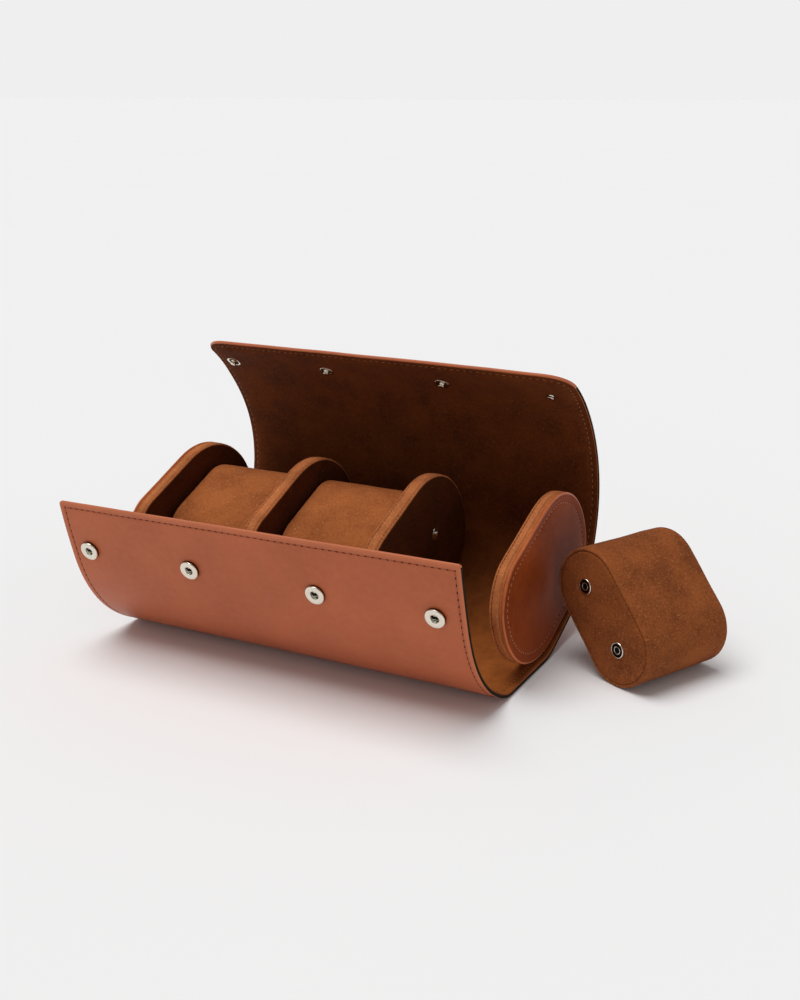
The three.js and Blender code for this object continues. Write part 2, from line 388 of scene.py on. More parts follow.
def leather(name, body, light, dark, coordinates="object", gloss=0.26):
    """Smooth leather with a fine grain, faint clouding and a low sheen."""
    body, light, dark = srgb(*body), srgb(*light), srgb(*dark)
    finish = Finish(
        name, coordinates, Coat_Weight=gloss / 4, Coat_Roughness=0.3, Specular_IOR_Level=gloss,
    )
    clouds = finish.spread(finish.noise(38, 3), 0.32, 0.68)
    mottle = finish.spread(finish.noise(3.2, 4, 0.6), 0.3, 0.7)
    colour = finish.mix(clouds, dark, body)
    colour = finish.mix(finish.math("MULTIPLY", mottle, 0.16), colour, light)
    if coordinates != "object":
        edge = finish.attribute("edge")
        # Painted highlight: lighter towards the edge, where it catches the light.
        painted_light = finish.spread(edge, 0.0, EDGE_HIGHLIGHT_REACH, 0.45, 0.0)
        colour = finish.mix(painted_light, colour, light)
        # Darker close to the stitch line.
        from_stitches = finish.math("ABSOLUTE", finish.math("SUBTRACT", edge, STITCH_INSET))
        darker_near_stitches = finish.spread(from_stitches, *STITCH_DARKENING_REACH, 0.45, 0.0)
        colour = finish.mix(darker_near_stitches, colour, dark)
    finish.colour(colour)
    finish.roughness(finish.spread(finish.noise(1.6, 3), 0.3, 0.7, 0.40, 0.50))
    finish.bump(finish.cells(0.75), 0.05, 0.35)
    finish.bump(finish.noise(0.4, 2), 0.03, 0.35)
    finish.bump(finish.noise(9, 2), 0.25, 0.3)
    return finish.material


# The lining is painted lighter low down and in front, where the light reaches it: fully up to the first
# of these places along the wrap, and not at all past the second, where it keeps its darker colour in
# the shade.
LINING_LIT_FROM = 24
LINING_LIT_TO = 112


def suede(name, body, light, dark, coordinates="object", sheen=0.12, painted_light=None):
    """Brushed suede: soft blotches where the nap lies differently, and fine fibres.

    A lighter body and dark colour, low down and in front, are painted light where light reaches the
    wrap's lining."""
    body, light, dark = srgb(*body), srgb(*light), srgb(*dark)
    finish = Finish(
        name, coordinates,
        Sheen_Weight=sheen, Sheen_Roughness=0.45, Sheen_Tint=light, Specular_IOR_Level=0.12,
    )
    blotches = finish.spread(finish.noise(21, 4, 0.6), 0.38, 0.62)
    brushed = finish.spread(finish.noise(6, 3, 0.6, (1.0, 0.35, 1.0)), 0.34, 0.66)
    fibre_noise = finish.noise(0.8, 3, 0.75, (1.0, 0.5, 1.0))
    fibres = finish.spread(fibre_noise, 0.42, 0.62)
    specks = finish.spread(finish.noise(1.1, 1, 0.5), 0.63, 0.70)
    pits = finish.spread(finish.noise(1.6, 2, 0.6), 0.40, 0.30)
    # Painted light: the lining lighter low down and in front, where the light reaches it.
    if painted_light:
        along = finish.node("SeparateXYZ", Vector=finish.place).outputs["Y"]
        lit_share = finish.spread(along, LINING_LIT_TO * MM, LINING_LIT_FROM * MM)
        lit_body, lit_dark = painted_light
        body = finish.mix(lit_share, body, srgb(*lit_body))
        dark = finish.mix(lit_share, dark, srgb(*lit_dark))
    colour = finish.mix(blotches, dark, body)
    layers = ((brushed, 0.45, body), (fibres, 0.24, light), (specks, 0.45, light), (pits, 0.4, dark))
    for mask, share, layer in layers:
        colour = finish.mix(finish.math("MULTIPLY", mask, share), colour, layer)
    finish.colour(colour)
    finish.roughness(finish.spread(blotches, 0.0, 1.0, 0.9, 1.0))
    finish.bump(fibre_noise, 0.3, 0.8)
    finish.bump(finish.noise(4, 3, 0.5), 0.35, 0.4)
    return finish.material


def metal(name, colour, low, high):
    """Plated steel, with a roughness from low to high."""
    colour = srgb(*colour)
    finish = Finish(name, Metallic=1.0)
    brighter = tuple(min(1.0, value * 1.12) for value in colour)
    finish.colour(finish.mix(finish.noise(1.5, 3), colour, brighter))
    finish.roughness(finish.spread(finish.noise(0.6, 3), 0.3, 0.7, low, high))
    finish.bump(finish.noise(0.25, 2), 0.008, 0.3)
    return finish.material


def thread(name, first, second):
    """Twisted sewing thread."""
    finish = Finish(name, Specular_IOR_Level=0.2)
    streaks = finish.spread(finish.noise(0.5, 2), 0.35, 0.65)
    finish.colour(finish.mix(streaks, srgb(*first), srgb(*second)))
    finish.roughness(finish.spread(finish.noise(0.4, 2), 0.3, 0.7, 0.6, 0.8))
    finish.bump(finish.noise(0.18, 2), 0.05, 0.8)
    return finish.material


# Screen colours: body, light and dark.
LEATHER = leather("wrap_leather", (180, 92, 54), (210, 126, 84), (166, 82, 46), "flat")
EDGE_PAINT = leather("edge_leather", (180, 94, 56), (206, 120, 80), (158, 78, 44), "flat")
# The end dividers' facing is a darker copy of the wrap's leather: painted shade, as it turns from the
# light.
SHADED_FACING_LEATHER = leather("facing_leather_painted_shade", (146, 63, 24), (186, 96, 48), (112, 45, 16), gloss=0.02)
# The lighter leather on the facing's rolled edge is a painted highlight.
ROLLED_EDGE_HIGHLIGHT = leather("rolled_edge_painted_highlight", (194, 98, 44), (228, 142, 82), (164, 76, 32), gloss=0.25)
# The dark ends of the wrap's edge are painted shade, for the gap between leather and lining.
END_EDGE_SHADE = suede("end_edge_painted_shade", (34, 28, 16), (56, 46, 28), (22, 18, 10), "flat", sheen=0.0)
# The lining's second body and dark colour are painted light, low down and in front.
LINING = suede(
    "lining_suede", (98, 46, 15), (130, 69, 30), (73, 31, 10), "flat", sheen=0.08,
    painted_light=((160, 89, 38), (126, 66, 26)),
)
DIVIDER_SUEDE = suede("divider_suede", (185, 108, 61), (218, 147, 97), (149, 83, 43))
# The dividers' flat walls are a darker copy of the divider suede: painted shade, as they turn from the
# light.
SHADED_WALL_SUEDE = suede("wall_suede_painted_shade", (84, 38, 14), (116, 62, 28), (60, 26, 8))
CUSHION_SUEDE = suede("cushion_suede", (167, 93, 48), (204, 133, 81), (137, 71, 34))
# The loose cushion is a darker copy of the cushion suede: painted shade, as its faces turn from the
# light.
LOOSE_CUSHION_SHADED_SUEDE = suede("loose_cushion_painted_shade", (138, 73, 35), (180, 112, 64), (103, 50, 21))
NICKEL = metal("nickel", (222, 216, 202), 0.16, 0.26)
# Dark nickel is painted shade in the sockets' hollows, and a painted dark reflection.
NICKEL_PAINTED_SHADE = metal("nickel_painted_shade", (30, 27, 24), 0.45, 0.6)
RED_THREAD = thread("red_thread", (150, 70, 42), (176, 92, 60))
BROWN_THREAD = thread("brown_thread", (64, 32, 14), (90, 50, 26))
LINING_THREAD = thread("lining_thread", (136, 82, 48), (168, 108, 68))
FACING_THREAD = thread("facing_thread", (178, 100, 60), (208, 134, 90))
# Dark marks at the needle holes are painted shade.
NEEDLE_HOLE_SHADE = thread("needle_hole_shade", (34, 10, 5), (48, 16, 8))

# ---- the wrap's leather and lining ----

# Places of rows near an edge, close together where it rounds off and in the groove of the stitches.
EDGE_INSETS = np.array([0, 0.05, 0.18, 0.4, 0.75, 1.2, 1.9, 2.6, 2.95, 3.3, 3.65, 4.0, 4.8, 6.2])
ROW_STEP = 1.3
CLEAR_OF_CUT = 0.4
SMALLEST_STEP = 0.03
COLUMNS = 52

# Each span of the wrap bends at one fold, between the middles of two stiff sections: its name,
# start and end, the fold and how far the bend reaches each way, and the two bodies.
SPANS = [
    ("front_upper", FRONT_EDGE, -76, -89, 12, "front_upper", "front_middle"),
    ("front_middle", -76, -34.3, -63, 12.5, "front_middle", "front_lower"),
    ("front_lower", -34.3, 38.7, -5.6, 14, "front_lower", "base"),
    ("rear_lower", 38.7, 99, 83, 15, "base", "rear_lower"),
    ("rear_middle", 99, 132, 115, 15, "rear_lower", "rear_middle"),
    ("rear_upper", 132, REAR_EDGE, 149, 16, "rear_middle", "rear_upper"),
]


def edge_distance(x, along, inset=0.0):
    """How far a place is inside the wrap's outline, itself drawn in by an inset."""
    side = WRAP_WIDTH / 2 - inset - np.abs(x)
    front = along - FRONT_EDGE - inset
    rear = REAR_EDGE - inset - along
    nearest = np.minimum(side, np.minimum(front, rear))
    for end, radius in ((front, FRONT_CORNER_RADIUS), (rear, REAR_CORNER_RADIUS)):
        radius = radius - inset
        in_corner = (side < radius) & (end < radius)
        round_distance = radius - np.hypot(radius - side, radius - end)
        nearest = np.where(in_corner, round_distance, nearest)
    return np.maximum(nearest, 0.0)


def half_width(along, inset):
    half = np.full_like(along, WRAP_WIDTH / 2 - inset)
    ends = ((along - FRONT_EDGE, FRONT_CORNER_RADIUS), (REAR_EDGE - along, REAR_CORNER_RADIUS))
    for end, radius in ends:
        radius = radius - inset
        across = np.clip(radius - (end - inset), 0, radius)
        half -= radius - np.sqrt(radius**2 - across**2)
    return half


def row_places(inset):
    """Distances along the wrap, close together where it rounds off at its two edges."""
    start, end = FRONT_EDGE + inset, REAR_EDGE - inset
    rows = [start + EDGE_INSETS, end - EDGE_INSETS]
    corner_steps = 1 - np.cos(np.linspace(0, math.pi / 2, 15))
    rows.append(end - (REAR_CORNER_RADIUS - inset) * corner_steps)
    cuts = np.array([span[2] for span in SPANS[:-1]])
    rows.append(cuts)
    inner = np.arange(start + EDGE_INSETS[-1], end - EDGE_INSETS[-1], ROW_STEP)
    clear_of_cuts = np.min(np.abs(inner[:, None] - cuts[None]), axis=1) > CLEAR_OF_CUT
    rows.append(inner[clear_of_cuts])
    merged = np.unique(np.round(np.concatenate(rows), 4))
    keep = np.concatenate([[True], np.diff(merged) > SMALLEST_STEP])
    return merged[keep]


def dents(x, along, row_along, reach, depth):
    """Hollows that a row of snaps presses into the surface."""
    total = np.zeros_like(x)
    for snap_x in SNAP_X:
        distance = np.hypot(x - snap_x, along - row_along)
        total += depth * np.exp(-((distance / reach) ** 2))
    return total


SWAY = 0.42
SWAY_FROM = 24
SWAY_RUN = 30


def sway(x, along):
    """Slow waves of hand-bent leather, none where the roll stands."""
    flat = np.stack([x, along, np.zeros_like(x)], axis=-1).reshape(-1, 3)
    waves = (soft_noise(flat, 52, 3) + 0.35 * soft_noise(flat, 21, 5)).reshape(x.shape)
    lifted = np.clip((np.abs(along) - SWAY_FROM) / SWAY_RUN, 0, 1)
    return SWAY * waves * lifted


EDGE_SHARE = 0.55
SKIVE_WIDTH = 9
ROUNDING_SHARE = 0.42
GROOVE_DEPTH = 0.26
GROOVE_WIDTH = 0.55
SNAP_DENT = 0.3


def skiving(distance):
    """The wrap's share of its full thickness, less near its edges."""
    share = np.clip(distance / SKIVE_WIDTH, 0, 1)
    return EDGE_SHARE + (1 - EDGE_SHARE) * share * share * (3 - 2 * share)


def wrap_sheet(outer, inner, inset, is_leather):
    """The closed sheet between two depths: its points, flat places, faces and face rows."""
    rows = row_places(inset)
    half = half_width(rows, inset)[:, None]
    middle = np.linspace(-1, 1, COLUMNS)[None, 1:-1] * (half - EDGE_INSETS[-1])
    x = np.concatenate([-half + EDGE_INSETS, middle, half - EDGE_INSETS[::-1]], axis=1)
    along = np.repeat(rows[:, None], x.shape[1], axis=1)
    distance = edge_distance(x, along, inset)
    thinning = skiving(distance + inset)
    rounding = ROUNDING_SHARE * EDGE_SHARE * (inner - outer)
    across = np.clip(rounding - distance, 0, rounding)
    rounded = rounding - np.sqrt(rounding**2 - across**2)
    from_stitches = distance + inset - STITCH_INSET
    groove = GROOVE_DEPTH * np.exp(-((from_stitches / GROOVE_WIDTH) ** 2))
    outer_depth = outer * thinning + rounded + sway(x, along)
    inner_depth = inner * thinning - rounded + sway(x, along)
    if is_leather:
        outer_depth += groove
        outer_depth += dents(x, along, FRONT_EDGE + SOCKET_FROM_FRONT_EDGE, 6.5, SNAP_DENT)
    else:
        inner_depth -= groove
        inner_depth -= dents(x, along, REAR_EDGE - STUD_FROM_REAR_EDGE, 5.0, SNAP_DENT)
    points = np.concatenate([
        wrap_point(x, along, outer_depth).reshape(-1, 3),
        wrap_point(x, along, inner_depth).reshape(-1, 3),
    ])
    flat_outer = np.stack([x, along, np.zeros_like(x)], axis=-1).reshape(-1, 3)
    flat = np.concatenate([flat_outer, flat_outer + [0, 0, WRAP_THICKNESS]])
    edge = np.tile((distance + inset).ravel(), 2)

    number = np.arange(x.size).reshape(x.shape)
    number, other = number.tolist(), (number + x.size).tolist()
    faces, face_rows, kinds = [], [], []

    def add(new_faces, row, kind):
        faces.extend(new_faces)
        face_rows.extend([row] * len(new_faces))
        kinds.extend([kind] * len(new_faces))

    for row in range(len(rows) - 1):
        lower, upper = number[row : row + 2]
        add(grid_faces(upper, lower), row, 0)
        lower_in, upper_in = other[row : row + 2]
        add(grid_faces(lower_in, upper_in), row, 0)
        add([(lower[0], lower_in[0], upper_in[0], upper[0])], row, 2)
        add([(upper[-1], upper_in[-1], lower_in[-1], lower[-1])], row, 2)
    add(grid_faces(number[0], other[0]), 0, 1)
    add(grid_faces(other[-1], number[-1]), len(rows) - 2, 1)
    return points, flat, edge, faces, np.array(face_rows), np.array(kinds), rows, number, other


def face_normals(points, faces):
    """Area-weighted normals of quads."""
    quads = np.array(faces)
    diagonal_1 = points[quads[:, 2]] - points[quads[:, 0]]
    diagonal_2 = points[quads[:, 3]] - points[quads[:, 1]]
    return np.cross(diagonal_1, diagonal_2) / 2


def smooth_normals(points, faces):
    """Each point's normal, from all the faces that it is on."""
    total = np.zeros_like(points)
    weighted = face_normals(points, faces)
    quads = np.array(faces)
    for corner in range(4):
        np.add.at(total, quads[:, corner], weighted)
    lengths = np.linalg.norm(total, axis=1, keepdims=True)
    return total / np.maximum(lengths, 1e-12)


def blend_over(piece, span):
    """Bakes a piece of the wrap's placement into its mesh; the ends of its span's fold are worked out
    but not used, and the piece is not bent.
    """
    fold, reach, before, after = span[3:]
    middle = WRAP_THICKNESS / 2
    start = wrap_point(0.0, fold - reach, middle) * MM
    end = wrap_point(0.0, fold + reach, middle) * MM
    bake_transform(piece)


def add_wrap_layer(layer, sheet, materials, slot_of_face):
    """Cuts a sheet into its spans, closes each cut, and hides the CAD sections that each span stands
    for.
    """
    points, flat, edge, faces, face_rows, kinds, rows, number, other = sheet
    normals = smooth_normals(points, faces)
    slots = slot_of_face(faces, kinds, face_rows, rows, edge)
    for span in SPANS:
        name, start, end = span[:3]
        first, last = (int(np.argmin(np.abs(rows - place))) for place in (start, end))
        chosen = np.nonzero((face_rows >= first) & (face_rows < last))[0]
        span_faces = [faces[i] for i in chosen]
        span_slots = [slots[i] for i in chosen]
        corner_normals = [normals[v] for face in span_faces for v in face]
        caps = []
        if first > 0:
            caps.append(grid_faces(number[first], other[first]))
        if last < len(rows) - 1:
            caps.append(grid_faces(other[last], number[last]))
        for cap in caps:
            for face, normal in zip(cap, face_normals(points, cap)):
                span_faces.append(face)
                span_slots.append(0)
                corner_normals += [normal / max(np.linalg.norm(normal), 1e-12)] * 4
        used = np.unique(np.array(span_faces).ravel())
        renumber = {int(old): new for new, old in enumerate(used)}
        local_faces = [tuple(renumber[v] for v in face) for face in span_faces]
        piece = build_mesh(
            f"{layer}_{name}", points[used], local_faces, materials, span_slots, corner_normals,
        )
        places = piece.data.attributes.new("flat", "FLOAT_VECTOR", "POINT")
        places.data.foreach_set("vector", (flat[used] * MM).astype(np.float32).ravel())
        depths = piece.data.attributes.new("edge", "FLOAT", "POINT")
        depths.data.foreach_set("value", edge[used].astype(np.float32))
        sections = (name, "base") if name == "front_lower" else (name,)
        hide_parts(*[f"{layer}_{section}" for section in sections])
        blend_over(piece, span)


PAINTED_EDGE = 0.4


def leather_slots(faces, kinds, face_rows, rows, edge):
    """Leather on the faces, light edge paint on the front and rear edges, and on the ends a dark
    painted shade for the gap between leather and lining.
    """
    nearness = edge[np.array(faces)].mean(axis=1)
    face_along = rows[face_rows]
    on_rear_corner = face_along > REAR_EDGE - REAR_CORNER_RADIUS
    at_an_edge = (face_along < FRONT_EDGE + 1) | on_rear_corner
    outermost = (kinds > 0) | (nearness < PAINTED_EDGE)
    return np.where(outermost, np.where(at_an_edge, 1, 2), 0).tolist()


leather_sheet = wrap_sheet(0, LEATHER_DEPTH, 0, True)
lining_sheet = wrap_sheet(LEATHER_DEPTH, WRAP_THICKNESS, LINING_INSET, False)
add_wrap_layer("wrap", leather_sheet, [LEATHER, EDGE_PAINT, END_EDGE_SHADE], leather_slots)
add_wrap_layer("lining", lining_sheet, [LINING], lambda faces, *rest: [0] * len(faces))

# ---- stitches ----

THREAD_SIDES = 6
# Rings of a stitch: place as a share of its length, and fullness.
THREAD_RINGS = ((-0.5, 0.35), (-0.36, 0.85), (-0.15, 1.0), (0.15, 1.0), (0.36, 0.85), (0.5, 0.35))

# Kinds of stitch: width, height, and how far its two ends dip in.
WRAP_STITCH = (0.5, 0.34, 0.16)
WRAP_HOLE = (0.62, 0.34, 0.0)
DIVIDER_SEAM = (0.34, 0.26, 0.1)
CUSHION_SEAM = (0.36, 0.26, 0.1)
FACING_STITCH = (0.6, 0.4, 0.14)
FACING_HOLE = (0.44, 0.26, 0.0)
SPRING_BAR = (0.34, 0.34, 0.0)


def add_thread(parts, centre, direction, outward, length, kind, slot=0):
    """One stitch: a rounded length of thread whose two ends dip into the material."""
    width, height, dive = kind
    across = np.cross(outward, direction)
    points = []
    for share, fullness in THREAD_RINGS:
        middle = centre + direction * share * length - outward * dive * (2 * share) ** 2
        for side in range(THREAD_SIDES):
            angle = 2 * math.pi * side / THREAD_SIDES
            offset = across * math.cos(angle) * width / 2 + outward * math.sin(angle) * height / 2
            points.append(middle + offset * fullness)
    rings = ring_numbers(len(THREAD_RINGS), THREAD_SIDES)
    faces = [tuple(rings[0]), tuple(reversed(rings[-1]))]
    for first, second in zip(rings, rings[1:]):
        faces += grid_faces(second, first, closed=True)
    parts.add(points, faces, slot)


def even_steps(path, pitch, closed=False):
    """Middles and directions of equal steps along a line of points."""
    path = np.asarray(path, float)
    if closed:
        path = np.concatenate([path, path[:1]])
    lengths = np.linalg.norm(np.diff(path, axis=0), axis=1)
    travelled = np.concatenate([[0], np.cumsum(lengths)])
    count = max(1, round(travelled[-1] / pitch))
    step = travelled[-1] / count
    found = []
    for i in range(count):
        ends = [
            np.array([np.interp(place, travelled, path[:, k]) for k in range(path.shape[1])])
            for place in (i * step, (i + 1) * step)
        ]
        chord = ends[1] - ends[0]
        found.append(((ends[0] + ends[1]) / 2, chord / np.linalg.norm(chord), step))
    return found


def stitch_stretches():
    """The lines of stitches round the wrap, as places across and along it."""
    half = WRAP_WIDTH / 2 - STITCH_INSET
    front = FRONT_EDGE + STITCH_INSET
    rear = REAR_EDGE - STITCH_INSET
    radius = REAR_CORNER_RADIUS - STITCH_INSET
    quarter = np.linspace(0, math.pi / 2, 12)
    across, up = half - radius, rear - radius
    right = [(across + radius * math.cos(a), up + radius * math.sin(a)) for a in quarter]
    left = [(-across - radius * math.sin(a), up + radius * math.cos(a)) for a in quarter]
    front_corners = [(-half, front), (half, front)]
    return [
        front_corners, [front_corners[1], right[0]], right,
        [right[-1], left[0]], left, [left[-1], front_corners[0]],
    ]


WRAP_PITCH = 3.6
STITCH_SHARE = 0.62
STITCH_DEPTH = 0.2
STITCH_SLANT = 0.13
HOLE_SINK = 0.02
# Each stitched face of the wrap: its thread, its slot and how long its needle holes are.
STITCHED_FACES = (
    ("outer", RED_THREAD, "leather", 1.5),
    ("inner", LINING_THREAD, "lining_suede", 0.7),
)


def add_wrap_stitches():
    """Thread on both faces of the wrap, span by span, with dark marks of painted shade for the needle
    holes between.
    """
    steps = [step for stretch in stitch_stretches() for step in even_steps(stretch, WRAP_PITCH)]
    inner_depth = WRAP_THICKNESS * float(skiving(STITCH_INSET))
    for span in SPANS:
        name, start, end = span[:3]
        for side, thread_look, slot_name, hole_length in STITCHED_FACES:
            parts = Parts()
            for (x, along), (dx, dalong), step in steps:
                if not start <= along < end:
                    continue
                slope = wrap_slope(along)
                inward = np.array([0, -math.sin(slope), math.cos(slope)])
                forward = np.array([0, math.cos(slope), math.sin(slope)])
                shift = float(sway(np.array([x]), np.array([along]))[0])
                if side == "outer":
                    depth, outward = STITCH_DEPTH + shift, -inward
                else:
                    depth, outward = inner_depth - STITCH_DEPTH + shift, inward
                slanted = np.array([dx - STITCH_SLANT * dalong, dalong + STITCH_SLANT * dx])
                slanted /= np.linalg.norm(slanted)
                direction = np.array([slanted[0], 0, 0]) + forward * slanted[1]
                centre = wrap_point(x, along, depth)
                add_thread(parts, centre, direction, outward, STITCH_SHARE * step, WRAP_STITCH)
                # A dark mark of painted shade stands for the needle hole.
                hole = wrap_point(x + dx * step / 2, along + dalong * step / 2, depth)
                sunk = hole - outward * HOLE_SINK
                add_thread(parts, sunk, direction, outward, hole_length, WRAP_HOLE, slot=1)
            piece = parts.build(f"stitches_{side}_{name}", [thread_look, NEEDLE_HOLE_SHADE])
            blend_over(piece, span)


add_wrap_stitches()

# ---- plates: dividers and cushions ----

ARC_STEPS = 22
LINE_STEP = 3.0


def plate_outline(half_size, corners, inset):
    """Points of a rounded rectangle drawn in by an inset, as many whatever the inset."""
    half_length, half_height = half_size
    # The corners follow on as rear top, front top, front bottom and rear bottom.
    centres = [
        (x_side * (half_length - radius), y_side * (half_height - radius))
        for (x_side, y_side), radius in zip(((1, 1), (-1, 1), (-1, -1), (1, -1)), corners)
    ]
    arcs = []
    for quarter, ((x, y), radius) in enumerate(zip(centres, corners)):
        angles = (quarter + np.linspace(0, 1, ARC_STEPS)) * math.pi / 2
        reach = radius - inset
        arcs.append(np.stack([x + reach * np.cos(angles), y + reach * np.sin(angles)], axis=-1))
    points = []
    for i, arc_points in enumerate(arcs):
        points.append(arc_points)
        following = arcs[(i + 1) % 4][0]
        gap = np.linalg.norm(np.subtract(centres[i], centres[(i + 1) % 4]))
        count = max(1, round(float(gap) / LINE_STEP))
        shares = np.linspace(0, 1, count + 1)[1:-1, None]
        points.append(arc_points[-1] * (1 - shares) + following * shares)
    return np.concatenate(points)


def plate_shell(half_size, corners, profile, crown_steps, crowns):
    """A closed plate from a profile of (inset, place across) round its rim.

    The two faces carry on to their middles, and rise there by the two crowns."""
    first_inset, first_across = profile[0]
    last_inset, last_across = profile[-1]
    rings = []

    def face_rings(inset, across, crown, shares):
        rim = plate_outline(half_size, corners, inset)
        middle = rim.mean(axis=0)
        for share in shares:
            ring = middle + (rim - middle) * share
            rise = crown * (1 - share**2)
            rings.append(np.concatenate([ring, np.full((len(ring), 1), across + rise)], axis=1))
        return middle

    shares = np.linspace(1, 0, crown_steps + 1)[1:-1]
    first_middle = face_rings(first_inset, first_across, crowns[0], shares[::-1])
    for inset, across in profile:
        ring = plate_outline(half_size, corners, inset)
        rings.append(np.concatenate([ring, np.full((len(ring), 1), across)], axis=1))
    last_middle = face_rings(last_inset, last_across, crowns[1], shares)

    points = np.concatenate([
        *rings,
        [[*first_middle, first_across + crowns[0]]],
        [[*last_middle, last_across + crowns[1]]],
    ])
    return points, hubbed_faces(len(rings), len(rings[0]))


def cross_basis(tilt):
    """Columns: along a tilted plate, square to its edge, and across the roll."""
    angle = math.radians(tilt)
    return np.array([
        [0, 0, 1],
        [math.cos(angle), -math.sin(angle), 0],
        [math.sin(angle), math.cos(angle), 0],
    ])


seat_basis = cross_basis(DIVIDER_TILT)
seat_centre = np.array([0, *DIVIDER_CENTRE])


def seat_points(points, x):
    """Points of a plate in its place in the row, its local zero at x."""
    return np.asarray(points) @ seat_basis.T + seat_centre + [x, 0, 0]


def plate_stitches(path, pitch, basis):
    """Even stitches round a plate: middle, direction, way out of its edge, and length."""
    for middle, (d_along, d_up), step in even_steps(path, pitch, closed=True):
        yield middle, basis @ np.array([d_along, d_up, 0]), basis @ np.array([d_up, -d_along, 0]), step


RIM_HALF = DIVIDER_THICKNESS / 2
RIM_SEAM = 2.55
RIM_SEAM_INSET = 0.5
RIM_SEAM_PITCH = 2.6
RIM_SEAM_SHARE = 0.72
RIM_CROWN_STEPS = 9
WALL_CROWN = 0.3
RIM_WAVES = 0.12
FACING_DEPTH = 1.5
FACING_TUCK = 0.35
FACING_STITCH_INSET = 5.2
FACING_PITCH = 3.2
FACING_CROWN_STEPS = 10
ROLLED_RINGS = 7


def rim_side(side, half):
    """The rim's profile from its middle to one face, past the seam near that face."""
    seam = half - (RIM_HALF - RIM_SEAM)
    return [
        (-0.1, side * seam * 0.45), (0.02, side * (seam - 0.7)), (0.3, side * (seam - 0.32)),
        (0.85, side * seam), (0.2, side * (seam + 0.32)), (0.1, side * (seam + 0.55)),
        (0.45, side * (half - 0.25)), (1.0, side * (half - 0.03)), (1.8, side * half),
        (3.2, side * (half - 0.05)), (6.0, side * (half + 0.02)),
    ]


def add_divider(name, x, facing_side):
    """A suede-covered divider, and on an end one its leather facing."""
    halves = {-1: RIM_HALF, 1: RIM_HALF}
    if facing_side:
        halves[facing_side] = RIM_HALF - FACING_DEPTH + FACING_TUCK
    left = rim_side(-1, halves[-1])[::-1]
    right = rim_side(1, halves[1])
    profile = [*left, (0.0, 0.0), *right]
    points, faces = plate_shell(
        DIVIDER_HALF_SIZE, DIVIDER_CORNERS, profile, RIM_CROWN_STEPS, (-WALL_CROWN, WALL_CROWN),
    )
    placed = seat_points(points, x)
    placed += RIM_WAVES * soft_noise(placed, 11, 2)[:, None] * seat_basis[:, 1]
    placed[:, 0] += RIM_WAVES * soft_noise(placed, 14, 8) * np.sign(points[:, 2])
    reach = np.abs(points[:, 2])
    # Faces on the flat walls take the darker suede, a painted shade.
    wall_from = RIM_HALF - 0.15
    wall_slots = [int(min(reach[v] for v in face) > wall_from) for face in faces]
    shell = build_mesh(f"{name}_suede", placed, faces, [DIVIDER_SUEDE, SHADED_WALL_SUEDE], wall_slots)
    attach(shell, "base")
    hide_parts(f"{name}_rim", f"{name}_board")

    seams = Parts()
    for side in (-1, 1):
        if side == facing_side:
            continue
        seam = halves[side] - (RIM_HALF - RIM_SEAM)
        path = plate_outline(DIVIDER_HALF_SIZE, DIVIDER_CORNERS, RIM_SEAM_INSET)
        for middle, direction, outward, step in plate_stitches(path, RIM_SEAM_PITCH, seat_basis):
            centre = seat_points([(*middle, side * seam)], x)[0]
            add_thread(seams, centre, direction, outward, RIM_SEAM_SHARE * step, DIVIDER_SEAM)
    piece = seams.build(f"{name}_seam_thread", [BROWN_THREAD])
    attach(piece, "base")
    if facing_side:
        add_facing(name, x, facing_side)


def add_facing(name, x, side):
    """The padded leather on the outside of an end divider, rolled over at its edge."""
    back = RIM_HALF - FACING_DEPTH
    rolled = [
        (1.2, 0.1), (0.45, 0.15), (0.02, 0.5), (-0.12, 0.9), (0.05, 1.3), (0.4, 1.55), (0.9, 1.62),
        (1.7, 1.5), (2.8, 1.4),
    ]
    stitched = [(-0.5, 1.38), (-0.2, 1.22), (0, 1.15), (0.2, 1.22), (0.6, 1.42), (2.0, 1.6)]
    rolled += [(FACING_STITCH_INSET + inset, height) for inset, height in stitched]
    profile = [(inset, side * (back + height)) for inset, height in rolled]
    crowns = (0.0, side * 0.7)
    if side < 0:
        profile, crowns = profile[::-1], crowns[::-1]
    points, faces = plate_shell(DIVIDER_HALF_SIZE, DIVIDER_CORNERS, profile, FACING_CROWN_STEPS, crowns)
    placed = seat_points(points, x)
    placed[:, 0] += 0.1 * soft_noise(placed, 16, 4)
    ring_size = len(plate_outline(DIVIDER_HALF_SIZE, DIVIDER_CORNERS, 0))
    first_rolled = FACING_CROWN_STEPS - 1
    if side < 0:
        first_rolled += len(profile) - ROLLED_RINGS
    rolled_rings = range(first_rolled, first_rolled + ROLLED_RINGS - 1)
    # The rolled edge's rings take the lighter leather, a painted highlight.
    slots = [int(i // ring_size in rolled_rings) for i in range(len(faces))]
    facing = build_mesh(f"{name}_leather", placed, faces, [SHADED_FACING_LEATHER, ROLLED_EDGE_HIGHLIGHT], slots)
    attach(facing, "base")
    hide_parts(f"{name}_facing")

    parts = Parts()
    path = plate_outline(DIVIDER_HALF_SIZE, DIVIDER_CORNERS, FACING_STITCH_INSET)
    outward = np.array([side, 0, 0])
    for middle, direction, _, step in plate_stitches(path, FACING_PITCH, seat_basis):
        centre = seat_points([(*middle, side * (back + 1.3))], x)[0]
        add_thread(parts, centre, direction, outward, 0.66 * step, FACING_STITCH)
        # A dark mark of painted shade stands for the needle hole.
        hole = centre + direction * step / 2 - outward * 0.06
        add_thread(parts, hole, direction, outward, 0.9, FACING_HOLE, slot=1)
    piece = parts.build(f"{name}_stitches", [FACING_THREAD, NEEDLE_HOLE_SHADE])
    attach(piece, "base")


def divider_x(index):
    return (index - 1.5) * SLOT_PITCH


